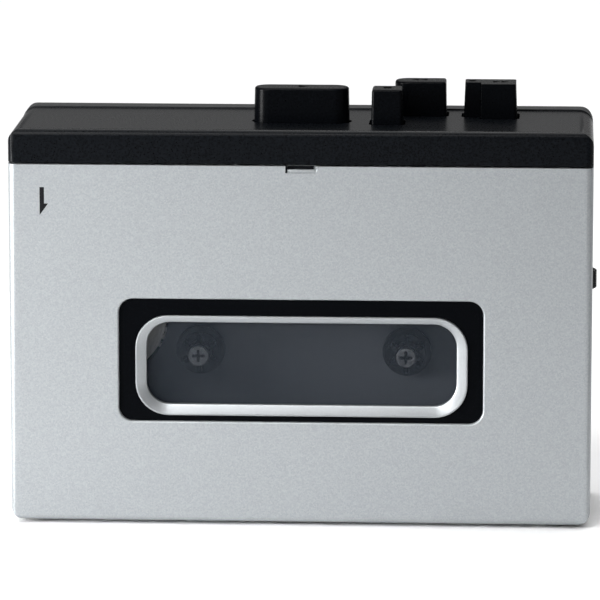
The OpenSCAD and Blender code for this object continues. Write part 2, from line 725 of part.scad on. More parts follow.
module key(k, rr, reach, stem) {
    top = case_height + key_height;
    intersection() {
        plan(flange_z, top)
            four_round(k[0], k[1], yy(k[2]), yy(k[3]), rr);
        side(k[0] - 1, k[1] + 1)
            rounded(yy(k[2]), yy(k[3]), flange_z - 5, top, key_round);
        front(k[2] - 1, k[3] + 1)
            rounded(k[0], k[1], flange_z - 5, top, key_round);
    }
    span(k[0] - reach[0], k[1] + reach[1], k[2] - reach[2], k[3] + reach[3], flange_z, flange_z + 0.8);
    span(stem[0] - 1.1, stem[0] + 1.1, stem[1] - 0.7, stem[1] + 0.7, stem_z, flange_z);
}

module play_key() color([0.08, 0.08, 0.09]) key(play, play_round, full_reach, play_stem);

module stop_key() color([0.08, 0.08, 0.09]) key(stop, stop_round, full_reach, stop_stem);

module rewind_key() color([0.08, 0.08, 0.09]) key(rewind, rewind_round, full_reach, rewind_stem);

module record_key() color([0.08, 0.08, 0.09]) key(record, record_round, record_reach, record_stem);

module forward_key() color([0.08, 0.08, 0.09])
    key(forward, forward_round, forward_reach, forward_stem);

// The springs stand on the guide plate and press each key's flange up against the panel
module key_spring(stem)
    translate([stem[0], yy(stem[1]), guide_z0 + 1.2])
        coil(1.85, 0.25, spring_turns, flange_z - guide_z0 - 1.35);

module play_spring() color([0.7, 0.71, 0.73]) key_spring(play_stem);

module stop_spring() color([0.7, 0.71, 0.73]) key_spring(stop_stem);

module rewind_spring() color([0.7, 0.71, 0.73]) key_spring(rewind_stem);

module record_spring() color([0.7, 0.71, 0.73]) key_spring(record_stem);

module forward_spring() color([0.7, 0.71, 0.73]) key_spring(forward_stem);

module key_guide() color([0.66, 0.67, 0.69]) {
    stems = [play_stem, stop_stem, rewind_stem, record_stem, forward_stem];
    post_at = [[-12.8, deck_t - 8.4], [-12.8, deck_t - 1.2], [14.4, deck_t + 4],
        [46, deck_t + 1.4], [46, deck_t + 9.2]];
    difference() {
        plan(guide_z0, guide_z0 + 1.2) {
            area(-14.4, 22, yy(deck_t - 10), yy(deck_t + 0.6));
            area(12, 47.6, yy(deck_t), yy(deck_t + 10.8));
        }
        for (s = stems)
            span(s[0] - 1.4, s[0] + 1.4, s[1] - 1, s[1] + 1, guide_z0 - 1, guide_z0 + 2);
    }
    for (p = post_at)
        z_rod(p[0], p[1], 1.3, guide_z0 + 0.6, ceiling);
}

// Electrics

module circuit_board() color([0.1, 0.35, 0.2])
    difference() {
        front(part_t, part_t + 1.2)
            rounded(7.2 - in_w, motor_x - motor_r - 1, bay_z1 + 3.4, reel_height + 34.5, 1);
        y_rod(-8, reel_height + 28.5, 1.2, part_t - 1, part_t + 2);
        y_rod(-8, bay_z1 + 8.4, 1.2, part_t - 1, part_t + 2);
    }

module board_parts() color([0.12, 0.12, 0.13]) {
    t0 = part_t + 1.2;
    for (b = [[-30, 10.5, 14, 8], [2, 18.5, 10, 10], [10, -1.5, 12, 7], [-40, -4.5, 8, 5]])
        span(b[0], b[0] + b[2], t0, t0 + 1.8, reel_height + b[1], reel_height + b[1] + b[3]);
    for (i = [0:4])
        y_rod(-20 + i * 6.5, reel_height + 2.5, 2.2, t0, t0 + 2.2);
    for (i = [0:5])
        span(13.2 - in_w + i * 4, 15.2 - in_w + i * 4, t0, t0 + 0.8, reel_height + 28.5, reel_height + 29.9);
}

module volume_pot() color([0.2, 0.2, 0.22]) {
    span(dial_x - 3.4, in_w, dial_t - 3.4, dial_t + 3.4, dial_z0 - 4, dial_z0 - 0.4);
    z_rod(dial_x, dial_t, 1.5, dial_z0 - 1, dial_z0 + 2.6);
}

module volume_dial() color([0.06, 0.06, 0.065])
    difference() {
        plan(dial_z0, dial_z0 + 3.4)
            translate([dial_x, yy(dial_t)]) {
                ribs = 48;
                polygon([for (i = [0:ribs * 2 - 1])
                    let (a = i * 180 / ribs, q = dial_radius - (i % 2 == 0 ? 0 : 0.3))
                    [q * cos(a), q * sin(a)]]);
            }
        z_rod(dial_x, dial_t, 1.5 + shaft_clearance, dial_z0 - 1, dial_z0 + 3);
    }

module headphone_jack() color([0.1, 0.1, 0.11])
    difference() {
        union() {
            span(-in_w, 11.6 - in_w, deck_t + 2.6, part_t, jack_z - 3.4, jack_z + 3.4);
            x_rod(jack_t, jack_z, 2.9, -half_w, -in_w + 1);
        }
        x_rod(jack_t, jack_z, plug_radius, -half_w - 1, 10.2 - in_w);
    }

module power_jack() color([0.1, 0.1, 0.11])
    difference() {
        union() {
            span(-in_w, 10.2 - in_w, deck_t + 4, part_t, power_z - 4, power_z + 4);
            x_rod(power_t, power_z, 3.2, -half_w, -in_w + 1);
        }
        difference() {
            x_rod(power_t, power_z, 2.1, -half_w - 1, 8.2 - in_w);
            x_rod(power_t, power_z, 0.65, -half_w + 1, 9.2 - in_w);
        }
    }

// Batteries

module battery_door() color([0.12, 0.12, 0.13]) {
    half_l = half_w - battery_door_end;
    difference() {
        span(-half_l, half_l, back_t + 0.1, case_depth, 2.7, bay_z1 - 0.3);
        for (i = [0:4])
            span(6.3 - half_l + i * 2.4, 7.5 - half_l + i * 2.4, case_depth - 0.5, case_depth + 1,
                5.4, bay_z1 - 3);
    }
    both_sides()
        span(8, 40, back_t - 1.2, back_t + 0.4, bay_mid - 1.2, bay_mid + 1.6);
}

module battery_contacts() color([0.75, 0.76, 0.78]) {
    both_sides()
        span(bay_x - 0.5, bay_x, deck_t + 3, case_depth - 3, 3.4, bay_z1 - 1);
    x_rod(deck_t + 8.9, bay_mid, 0.3 * bay_mid, bay_x - 1.4, bay_x - 0.3);
}

module battery_spring() color([0.75, 0.76, 0.78])
    translate([-bay_x + 0.5, yy(deck_t + 8.9), bay_mid]) rotate([0, 90, 0])
        coil(0.41 * bay_mid, 0.35, 4, 6.2);

// Fasteners

module case_screws() color([0.6, 0.61, 0.63])
    for (s = [-1, 1], z = boss_z) {
        screw_head(s * boss_x, z, 2.3, case_depth - 1.4, case_depth - 0.4, 1);
        y_rod(s * boss_x, z, 1.1, case_depth - 9, case_depth - 1.3);
    }

module deck_screws() color([0.75, 0.76, 0.78])
    for (s = [-1, 1], z = boss_z) {
        screw_head(s * boss_x, z, 2, deck_t - 1, deck_t, -1);
        y_rod(s * boss_x, z, 1.1, deck_t - 0.3, deck_t + 5);
    }

main_frame();
rear_cover();
top_panel();
deck_plate();
deck_pins();
drive_bracket();
hinge_pins();
circuit_board();
board_parts();
motor();
motor_pulley();
drive_belt();
reel_bushes();
capstan_bushes();
relay_wheel();
flywheel_left();
flywheel_right();
capstan_left();
capstan_right();
spindle_left();
spindle_right();
spindle_screw_left();
spindle_screw_right();
reel_gear_left();
reel_gear_right();
head_bridge();
tape_head();
bridge_screws();
pinch_arm_left();
pinch_arm_right();
pinch_roller_left();
pinch_roller_right();
door_shell();
window_surround();
window_bezel();
window_lens();
cassette_holder();
cassette_springs();
key_guide();
play_key();
stop_key();
rewind_key();
record_key();
forward_key();
play_spring();
stop_spring();
rewind_spring();
record_spring();
forward_spring();
volume_dial();
volume_pot();
headphone_jack();
power_jack();
battery_door();
battery_contacts();
battery_spring();
case_screws();
deck_screws();
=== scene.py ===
# %% [markdown]
# A portable cassette player, dressed for a studio picture.
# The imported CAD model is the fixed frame: every piece made here sits where a CAD node sits and moves
# with the same body. Shells could be modelled again from nothing, but then each hole and boss would
# have to be measured twice. So the shells start as copies of the CAD solids and get soft edges, and
# the pieces that the eye rests on, such as the keys and the window, are modelled here in full.

# %% Load the frame
import json
import math

import bmesh
import bpy
from mathutils import Matrix, Vector


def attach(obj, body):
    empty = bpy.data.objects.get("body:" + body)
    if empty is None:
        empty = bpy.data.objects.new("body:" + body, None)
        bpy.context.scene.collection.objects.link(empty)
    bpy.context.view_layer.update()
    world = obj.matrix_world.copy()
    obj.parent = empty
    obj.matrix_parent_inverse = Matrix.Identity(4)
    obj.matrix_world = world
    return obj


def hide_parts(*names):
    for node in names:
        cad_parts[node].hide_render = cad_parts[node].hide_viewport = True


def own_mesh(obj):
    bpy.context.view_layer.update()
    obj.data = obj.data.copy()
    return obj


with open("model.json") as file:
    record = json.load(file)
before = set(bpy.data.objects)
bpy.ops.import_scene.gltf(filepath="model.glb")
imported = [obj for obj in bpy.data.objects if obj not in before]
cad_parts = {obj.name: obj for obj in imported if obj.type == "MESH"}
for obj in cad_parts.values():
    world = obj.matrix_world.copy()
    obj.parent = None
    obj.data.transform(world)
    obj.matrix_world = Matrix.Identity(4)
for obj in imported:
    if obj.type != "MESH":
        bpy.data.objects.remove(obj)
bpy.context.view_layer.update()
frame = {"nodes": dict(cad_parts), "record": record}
nodes = frame["nodes"]
MM = 0.001
DEPTH = 36.0


def depth_y(t):
    """Y in mm of a depth counted from the front face."""
    return t - DEPTH / 2


# %% [markdown]
# The finishes come first, because every piece needs one. Moulded plastic, paint and metal are never
# one flat colour: paint holds flakes, a moulding has a fine grain, and turned metal has rings. Each
# finish could be an image, but a noise in the piece's own space has no seams and stays at its real
# scale. One helper builds the shared part, a grain that moves colour, roughness and relief together.

# %% Grain shared by the finishes
def start_finish(name, roughness, metallic, **sockets):
    """A new material with its shader and the piece's own coordinates."""
    material = bpy.data.materials.new(name)
    material.use_nodes = True
    tree = material.node_tree
    shader = tree.nodes["Principled BSDF"]
    shader.inputs["Roughness"].default_value = roughness
    shader.inputs["Metallic"].default_value = metallic
    for socket, value in sockets.items():
        shader.inputs[socket.replace("_", " ")].default_value = value
    place = tree.nodes.new("ShaderNodeTexCoord")
    return material, tree, shader, place.outputs["Object"]


def grain(tree, place, scale, detail=3.0, stretch=(1, 1, 1)):
    """A noise of that many cells per metre, stretched along an axis where the tool marks run."""
    mapping = tree.nodes.new("ShaderNodeMapping")
    mapping.inputs["Scale"].default_value = stretch
    tree.links.new(place, mapping.inputs["Vector"])
    noise = tree.nodes.new("ShaderNodeTexNoise")
    noise.inputs["Scale"].default_value = scale
    noise.inputs["Detail"].default_value = detail
    tree.links.new(mapping.outputs["Vector"], noise.inputs["Vector"])
    return noise.outputs["Fac"]


def shade(tree, value, stops):
    """Colours along a value from 0 to 1."""
    ramp = tree.nodes.new("ShaderNodeValToRGB")
    for i, (at, colour) in enumerate(stops):
        stop = ramp.color_ramp.elements[i] if i < 2 else ramp.color_ramp.elements.new(at)
        stop.position = at
        stop.color = (*colour, 1.0)
    tree.links.new(value, ramp.inputs["Fac"])
    return ramp.outputs["Color"]


NOISE_LOW, NOISE_HIGH = 0.3, 0.7


def spread(tree, value, low, high):
    """The part of a noise where most of its values lie, moved into the range from low to high."""
    reach = tree.nodes.new("ShaderNodeMapRange")
    reach.inputs["From Min"].default_value = NOISE_LOW
    reach.inputs["From Max"].default_value = NOISE_HIGH
    reach.inputs["To Min"].default_value = low
    reach.inputs["To Max"].default_value = high
    tree.links.new(value, reach.inputs["Value"])
    return reach.outputs["Result"]


def relief(tree, value, shader, height_mm, strength=1.0):
    """Bump of that height in mm."""
    bump = tree.nodes.new("ShaderNodeBump")
    bump.inputs["Distance"].default_value = height_mm * MM
    bump.inputs["Strength"].default_value = strength
    tree.links.new(value, bump.inputs["Height"])
    tree.links.new(bump.outputs["Normal"], shader.inputs["Normal"])


def grained(name, colour, roughness, metallic=0.0, cells=2500, mottle=0.12, height=0.004,
            stretch=(1, 1, 1), **sockets):
    """A finish whose grain, of so many cells per metre, moves colour, roughness and relief a little."""
    material, tree, shader, place = start_finish(name, roughness, metallic, **sockets)
    fine = grain(tree, place, cells, stretch=stretch)
    dark = tuple(c * (1 - mottle) for c in colour)
    light = tuple(min(1.0, c * (1 + mottle)) for c in colour)
    stops = [(NOISE_LOW, dark), (NOISE_HIGH, light)]
    tree.links.new(shade(tree, fine, stops), shader.inputs["Base Color"])
    tree.links.new(spread(tree, fine, roughness * 0.9, roughness * 1.1), shader.inputs["Roughness"])
    relief(tree, fine, shader, height)
    return material


# %% [markdown]
# The door is moulded plastic under silver paint. The paint's sparkle is small metal flakes that lie at
# slightly different angles. A glossy metal with noise on its colour would look like sheet steel, so
# flakes are cells of a Voronoi texture about a quarter of a millimetre wide: each cell has its own
# lightness and its own small tilt, under a satin lacquer.

# %% Silver paint
FLAKES_PER_METRE, CLOUDS_PER_METRE = 3600, 2400


def silver_paint_finish():
    """Metal flakes in a clear lacquer, with a faint cloud over them."""
    material, tree, shader, place = start_finish("silver_paint", 0.42, 0.62, Coat_Weight=0.12,
                                                 Coat_Roughness=0.25)
    flakes = tree.nodes.new("ShaderNodeTexVoronoi")
    flakes.inputs["Scale"].default_value = FLAKES_PER_METRE
    tree.links.new(place, flakes.inputs["Vector"])
    cloud = grain(tree, place, CLOUDS_PER_METRE, 2.0)
    both = tree.nodes.new("ShaderNodeMix")
    both.inputs["Factor"].default_value = 0.25
    tree.links.new(flakes.outputs["Color"], both.inputs["A"])
    tree.links.new(cloud, both.inputs["B"])
    stops = [(0.1, (0.281, 0.2985, 0.3105)), (0.9, (0.355, 0.3745, 0.3875))]
    tree.links.new(shade(tree, both.outputs["Result"], stops), shader.inputs["Base Color"])
    tree.links.new(spread(tree, cloud, 0.40, 0.46), shader.inputs["Roughness"])
    relief(tree, flakes.outputs["Distance"], shader, 0.003, 0.2)
    return material


silver_paint = silver_paint_finish()
print("finish:", silver_paint.name)

# %% [markdown]
# The black mouldings are satin: spark erosion leaves a fine even grain in the mould, which breaks the
# gloss. The inset round the window is a smoother black, and the trim ring is plastic with a thin layer
# of metal, so it is a metal with a soft sheen. The window is smoked clear plastic. A refracting shader
# would keep the light from the deck behind it, so the lens is partly transparent with a clear gloss on
# top.

# %% Finishes of the outside
black_moulding = grained("black_moulding", (0.0024, 0.0030, 0.0040), 0.28, cells=2800, mottle=0.55,
                         height=0.009, Specular_IOR_Level=0.075)
key_moulding = grained("key_moulding", (0.0012, 0.0015, 0.0021), 0.26, cells=3400, mottle=0.40,
                       height=0.006, Specular_IOR_Level=0.04)
rear_moulding = grained("rear_moulding", (0.010, 0.0108, 0.012), 0.46, cells=5200, mottle=0.12,
                        height=0.008, Specular_IOR_Level=0.2)
inset_black = grained("inset_black", (0.0012, 0.0015, 0.0021), 0.26, cells=3200, mottle=0.12,
                      height=0.001, Specular_IOR_Level=0.022)
trim_metal = grained("trim_metal", (0.352, 0.368, 0.380), 0.36, metallic=0.85, cells=4200,
                     mottle=0.05, height=0.001)
smoked_lens = grained("smoked_lens", (0.043, 0.053, 0.067), 0.07, cells=500, mottle=0.05,
                      height=0.00002, Alpha=0.15, Specular_IOR_Level=0.07)
mark_ink = grained("mark_ink", (0.008, 0.008, 0.009), 0.5, cells=4000, mottle=0.15,
                   height=0.001, Specular_IOR_Level=0.05)
# Print on the key tops. The same black also paints the shade in the screw crosses.
key_ink_and_cross_shade = grained("key_ink_and_cross_shade", (0.0016, 0.0016, 0.0018), 0.9, cells=4000, mottle=0.15,
                  height=0.001, Specular_IOR_Level=0.0)
outside = (black_moulding, key_moulding, rear_moulding, inset_black, trim_metal)
print("finishes outside:", [m.name for m in outside])

# %% [markdown]
# Inside there is painted sheet, turned steel and brass, cast zinc, rubber, nylon and a lacquered board.
# Turned pieces have rings, drawn sheet has lines: the same noise gives both when it is stretched along
# one axis.

# %% Finishes of the works
DRAWN, TURNED = (0.12, 1, 1), (1, 0.1, 1)
deck_paint = grained("deck_paint", (0.036, 0.040, 0.048), 0.52, metallic=0.2, cells=3000,
                     mottle=0.08, height=0.003)
spindle_black = grained("spindle_black", (0.0032, 0.0038, 0.0046), 0.36, cells=5000, mottle=0.12,
                        height=0.003, Specular_IOR_Level=0.08)
dark_steel = grained("dark_steel", (0.088, 0.091, 0.097), 0.36, metallic=1.0, cells=1800,
                     mottle=0.08, height=0.001)
pale_moulding = grained("pale_moulding", (0.60, 0.595, 0.57), 0.42, cells=3000, mottle=0.04,
                        height=0.003)
drawn_steel = grained("drawn_steel", (0.62, 0.63, 0.65), 0.30, metallic=1.0, cells=900,
                      mottle=0.07, height=0.0015, stretch=DRAWN)
turned_steel = grained("turned_steel", (0.66, 0.67, 0.69), 0.24, metallic=1.0, cells=1500,
                       mottle=0.06, height=0.001, stretch=TURNED)
turned_brass = grained("turned_brass", (0.62, 0.46, 0.20), 0.28, metallic=1.0, cells=1500,
                       mottle=0.10, height=0.001, stretch=TURNED)
cast_zinc = grained("cast_zinc", (0.42, 0.42, 0.44), 0.42, metallic=0.9, cells=1800,
                    mottle=0.14, height=0.006)
black_rubber = grained("black_rubber", (0.018, 0.018, 0.018), 0.72, cells=4200, mottle=0.20,
                       height=0.008)
nylon = grained("nylon", (0.66, 0.65, 0.60), 0.46, cells=1600, mottle=0.04, height=0.002,
                Subsurface_Weight=0.05)
chip_black = grained("chip_black", (0.020, 0.020, 0.021), 0.55, cells=5000, mottle=0.18,
                     height=0.004)


def board_lacquer_finish():
    """Green lacquer over copper tracks, which show as paler lines."""
    material, tree, shader, place = start_finish("board_lacquer", 0.32, 0.0, Coat_Weight=0.4)
    turn = tree.nodes.new("ShaderNodeMapping")
    turn.inputs["Rotation"].default_value = (math.radians(90), 0, 0)
    tree.links.new(place, turn.inputs["Vector"])
    tracks = tree.nodes.new("ShaderNodeTexBrick")
    tracks.inputs["Scale"].default_value = 160
    tracks.inputs["Mortar Size"].default_value = 0.03
    tracks.inputs["Color1"].default_value = (0.005, 0.036, 0.017, 1)
    tracks.inputs["Color2"].default_value = (0.006, 0.044, 0.021, 1)
    tracks.inputs["Mortar"].default_value = (0.017, 0.086, 0.043, 1)
    tree.links.new(turn.outputs["Vector"], tracks.inputs["Vector"])
    tree.links.new(tracks.outputs["Color"], shader.inputs["Base Color"])
    relief(tree, tracks.outputs["Fac"], shader, 0.03, 0.6)
    return material


board_lacquer = board_lacquer_finish()
inside = (deck_paint, drawn_steel, cast_zinc, nylon, board_lacquer)
print("finishes inside:", [m.name for m in inside])

# %% [markdown]
# The nodes whose CAD shape is right keep it and only get their finish. The table below is the whole
# list of which finish goes where, so a reader can change one word and see the piece change.

# %% Dress the CAD nodes
finish_of = {
    "main_frame": black_moulding, "rear_cover": rear_moulding, "top_panel": black_moulding,
    "deck_plate": deck_paint, "deck_pins": turned_steel, "drive_bracket": drawn_steel,
    "hinge_pins": turned_steel, "circuit_board": board_lacquer, "board_parts": chip_black,
    "motor": drawn_steel,
    "motor_pulley": turned_brass, "drive_belt": black_rubber, "reel_bushes": turned_brass,
    "capstan_bushes": turned_brass, "relay_wheel": pale_moulding, "flywheel_left": cast_zinc,
    "flywheel_right": cast_zinc, "capstan_left": turned_steel, "capstan_right": turned_steel,
    "spindle_left": spindle_black, "spindle_right": spindle_black, "spindle_screw_left": dark_steel,
    "spindle_screw_right": dark_steel, "reel_gear_left": nylon, "reel_gear_right": nylon,
    "head_bridge": drawn_steel, "tape_head": turned_steel, "bridge_screws": turned_steel,
    "pinch_arm_left": drawn_steel, "pinch_arm_right": drawn_steel, "pinch_roller_left": black_rubber,
    "pinch_roller_right": black_rubber, "door_shell": silver_paint, "window_surround": inset_black,
    "window_bezel": trim_metal, "window_lens": smoked_lens, "cassette_holder": black_moulding,
    "cassette_springs": drawn_steel, "key_guide": drawn_steel, "play_key": key_moulding,
    "stop_key": key_moulding, "rewind_key": key_moulding, "record_key": key_moulding,
    "forward_key": key_moulding, "play_spring": turned_steel, "stop_spring": turned_steel,
    "rewind_spring": turned_steel, "record_spring": turned_steel, "forward_spring": turned_steel,
    "volume_dial": key_moulding, "volume_pot": chip_black, "headphone_jack": rear_moulding,
    "power_jack": rear_moulding, "battery_door": rear_moulding, "battery_contacts": drawn_steel,
    "battery_spring": turned_steel, "case_screws": dark_steel, "deck_screws": turned_steel,
}
for name, material in finish_of.items():
    nodes[name].data.materials.clear()
    nodes[name].data.materials.append(material)
print("dressed", len(finish_of), "of", len(nodes), "nodes")

# %% [markdown]
# Shapes are drawn in millimetres and shrunk to metres at the very end, so the numbers read like the
# drawing of the object. One helper turns a finished bmesh into a piece: it smooths the faces, keeps
# true corners sharp, weights the normals by face size so that flats stay flat beside their rounded
# edges, and tells the frame which body carries the piece.

# %% From a drawing in mm to a piece that rides on a body
body_of_node = {n: b for b, ns in frame["record"]["behaviour"]["bodies"].items() for n in ns}


def finish_piece(bm, name, material, body, stands_for=None, corner=35):
    """Shrinks the drawing to metres, makes it an object and hands it to the frame."""
    bmesh.ops.scale(bm, vec=(MM, MM, MM), verts=bm.verts)
    mesh = bpy.data.meshes.new(name)
    bm.to_mesh(mesh)
    bm.free()
    mesh.polygons.foreach_set("use_smooth", [True] * len(mesh.polygons))
    mesh.set_sharp_from_angle(angle=math.radians(corner))
    mesh.materials.append(material)
    piece = bpy.data.objects.new(name, mesh)
    bpy.context.scene.collection.objects.link(piece)
    weighted = piece.modifiers.new("flat_faces", "WEIGHTED_NORMAL")
    weighted.keep_sharp = True
    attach(piece, body)
    if stands_for:
        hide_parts(stands_for)
    print(name, "on", body, "with", len(mesh.polygons), "faces")
    return piece


# %% [markdown]
# Most drawings start as a flat shape that is pushed out, and the ones for the front are drawn lying
# flat and then stood up. Both steps could be written out each time, but as two helpers they read as
# what a maker does with the piece.

# %% Pushing out and standing up
def pushed(bm, faces, by):
    """Extrudes the faces, moves the new end by that vector and gives its points."""
    made = bmesh.ops.extrude_face_region(bm, geom=faces)
    end = [v for v in made["geom"] if isinstance(v, bmesh.types.BMVert)]
    bmesh.ops.translate(bm, vec=by, verts=end)
    return end


def turned(bm, degrees, axis, verts):
    """Turns those points about an axis through the origin."""
    turn = Matrix.Rotation(math.radians(degrees), 3, axis)
    bmesh.ops.rotate(bm, cent=(0, 0, 0), matrix=turn, verts=verts)


# %% [markdown]
# A copy of a CAD node comes as loose triangles. Merging its points closes it again, and dissolving the
# edges inside each flat area leaves the clean faces that a bevel needs. Then only the edges that are
# truly sharp get a small round, as every moulded or pressed edge has one.

# %% Soft-edged copies of CAD nodes
def cad_copy(name):
    """The node's solid in mm, with its points merged and its flats joined."""
    bm = bmesh.new()
    bm.from_mesh(nodes[name].data)
    bmesh.ops.scale(bm, vec=(1 / MM, 1 / MM, 1 / MM), verts=bm.verts)
    bmesh.ops.remove_doubles(bm, verts=bm.verts, dist=0.003)
    bmesh.ops.dissolve_limit(bm, angle_limit=math.radians(0.8), verts=bm.verts, edges=bm.edges)
    return bm


def soften(bm, width, segments=2, sharper_than=38, where=None):
    """Rounds the sharp edges, or those of them that the test picks by their middle point."""
    edges = [e for e in bm.edges if e.is_manifold and e.calc_face_angle() > math.radians(sharper_than)
             and (where is None or where((e.verts[0].co + e.verts[1].co) / 2))]
    bmesh.ops.bevel(bm, geom=edges, offset=width, offset_type="OFFSET", segments=segments, profile=0.5,
                    affect="EDGES", clamp_overlap=True, material=-1)
    return len(edges)


def soft_copy(name, width, new_name=None):
    """A CAD node with all its sharp edges rounded, in the same finish and on the same body."""
    bm = cad_copy(name)
    soften(bm, width)
    finish_piece(bm, new_name or name + "_soft", finish_of[name], body_of_node[name], name)


# %% [markdown]
# The door's skin is the face of the object. Its outer edges are already round in the solid. What is
# left is the step into the black inset, which the paint rounds by almost half a millimetre, the nail
# notch in the top edge and the thin edge that meets the black top. One bevel with one width would
# either miss the step or eat the notch, so each gets its own.

# %% Door skin
INSET = (-36.7, 37.1, 21.7, 46.9)
NOTCH_X, NOTCH_Z = (-2.9, 3.2), 72.8
DOOR_UPPER = 68.0
STEP_ROUND, NOTCH_ROUND, TOP_ROUND, FINE_ROUND = 0.42, 0.75, 0.30, 0.16
TOUCH = 0.02


def near_inset(p, margin):
    """True within that margin of the inset, seen from the front."""
    x0, x1, z0, z1 = INSET
    return x0 - margin < p.x < x1 + margin and z0 - margin < p.z < z1 + margin


def on_inset_step(p):
    """True on the front edge of the step into the inset."""
    return near_inset(p, 0.4) and p.y < depth_y(0.05)


def on_notch_end(p):
    """True on the front edge of the notch's right end."""
    return abs(p.x - NOTCH_X[1]) < TOUCH and p.z > NOTCH_Z - 0.2 and p.y < depth_y(0.01)


def on_top_edge(p):
    """True on the edges that meet the black top, at the front."""
    return p.z > DOOR_UPPER + 0.5 and p.y < depth_y(0.3)


def on_other_edge(p):
    """True below the top edges and away from the window."""
    return p.z < DOOR_UPPER and not near_inset(p, 0.9)


door_bm = cad_copy("door_shell")
step_edges = soften(door_bm, STEP_ROUND, 3, where=on_inset_step)
end_edges = soften(door_bm, NOTCH_ROUND, 4, where=on_notch_end)
top_edges = soften(door_bm, TOP_ROUND, 3, where=on_top_edge)
other_edges = soften(door_bm, FINE_ROUND, 2, where=on_other_edge)
finish_piece(door_bm, "door_skin", silver_paint, "door", "door_shell")
print("door edges rounded:", step_edges, "at the inset,", end_edges, "at the notch,",
      top_edges, "on the top edge,", other_edges, "elsewhere")

# %% [markdown]
# The window is a stack of rounded rectangles. A rectangle with its corners rounded by a vertex bevel
# gives one loop, and bridging loops that lie at different depths gives any ring with any profile. That
# is simpler than cutting a block, and the loops keep the same number of points, so the bands run clean
# round the corners.

# %% Rings from bridged loops
def rounded_face(bm, x0, x1, y0, y1, radii, height, steps=10):
    """A flat face with each corner rounded by its own radius, drawn in X and Y at that height."""
    corners = [bm.verts.new((x, y, height)) for x, y in ((x0, y0), (x1, y0), (x1, y1), (x0, y1))]
    face = bm.faces.new(corners)
    bm.normal_update()
    for corner, radius in zip(corners, radii):
        bmesh.ops.bevel(bm, geom=[corner], offset=radius, offset_type="OFFSET", segments=steps,
                        profile=0.5, affect="VERTICES", material=-1)
    bm.faces.ensure_lookup_table()
    return bm.faces[-1]


def ring_loop(bm, box, radius, height):
    """The edges of a rounded rectangle, without its face."""
    before = set(bm.edges)
    face = rounded_face(bm, *box, [radius] * 4, height)
    bmesh.ops.delete(bm, geom=[face], context="FACES_ONLY")
    return [e for e in bm.edges if e not in before]


def ring_piece(loops, name, material, body, stands_for):
    """A closed ring through loops of (box, radius, depth), drawn flat and stood up."""
    bm = bmesh.new()
    edges = [ring_loop(bm, box, radius, -depth_y(t)) for box, radius, t in loops]
    for a, b in zip(edges, edges[1:] + edges[:1]):
        bmesh.ops.bridge_loops(bm, edges=a + b)
    turned(bm, 90, "X", bm.verts)
    bmesh.ops.recalc_face_normals(bm, faces=bm.faces)
    finish_piece(bm, name, material, body, stands_for)


def grown(box, by, top=None):
    """The box (x0, x1, z0, z1) moved outwards by that much, with its own amount at the top."""
    x0, x1, z0, z1 = box
    return (x0 - by, x1 + by, z0 - by, z1 + (by if top is None else top))


# %% Inset, trim ring and lens
TRIM = (-33.4, 34.0, 22.9, 43.5)
RING_BACK = 1.58
PANE_BACK, PANE_THICK, PANE_CORNER, PANE_ROUND = 2.58, 0.96, 5.5, 0.12
inset_profile = [
    (grown(INSET, -0.02), 2.9, RING_BACK), (grown(INSET, -0.02), 2.9, 0.72),
    (grown(INSET, -0.16), 2.8, 0.60), (grown(TRIM, 0.14), 6.8, 0.60),
    (grown(TRIM, 0.02), 6.7, 0.72), (grown(TRIM, 0.02), 6.7, RING_BACK)]
trim_profile = [
    (TRIM, 6.7, RING_BACK), (TRIM, 6.7, 0.34), (grown(TRIM, -0.07), 6.65, 0.21),
    (grown(TRIM, -0.22), 6.5, 0.15), (grown(TRIM, -0.40), 6.3, 0.18),
    (grown(TRIM, -1.25, -0.88), 5.6, 0.46), (grown(TRIM, -2.05, -1.34), 4.85, 0.74),
    (grown(TRIM, -2.22, -1.45), 4.7, 0.86), (grown(TRIM, -2.3, -1.5), 4.6, 1.05),
    (grown(TRIM, -2.3, -1.5), 4.6, RING_BACK)]
ring_piece(inset_profile, "inset_panel", inset_black, "door", "window_surround")
ring_piece(trim_profile, "window_trim", trim_metal, "door", "window_bezel")

pane_bm = bmesh.new()
pane = rounded_face(pane_bm, *grown(TRIM, -1.32, -0.82), [PANE_CORNER] * 4, -depth_y(PANE_BACK))
pushed(pane_bm, [pane], (0, 0, PANE_THICK))
bmesh.ops.recalc_face_normals(pane_bm, faces=pane_bm.faces)
soften(pane_bm, PANE_ROUND)
turned(pane_bm, 90, "X", pane_bm.verts)
finish_piece(pane_bm, "window_pane", smoked_lens, "door", "window_lens")

# %% [markdown]
# Each key is a cap with drawn-in sides: a moulding leaves its tool only if its walls lean a little. The
# outline is a rectangle with a radius of its own at each corner, pushed up, drawn in at the top and
# rounded there. The record and forward keys stand side by side, so the walls between them stay upright
# and the gap stays a hair. The flange and the stem below the panel are blocks with broken edges. All
# five keys come from one function, since only their places and corners differ.

# %% Keys
KEY_TOP, KEY_ROUND, DRAW_IN, UPRIGHT_BAND = 88.6, 0.55, 0.18, 0.2
FLANGE = (78.9, 79.7)
CAP_FOOT = FLANGE[0] + 0.1
STEM_FOOT, STEM_HEAD, STEM_HALF = 72.2, FLANGE[0] + 0.2, (1.1, 0.7)
BROKEN_EDGE, SMALL_EDGE = 0.1, 0.06
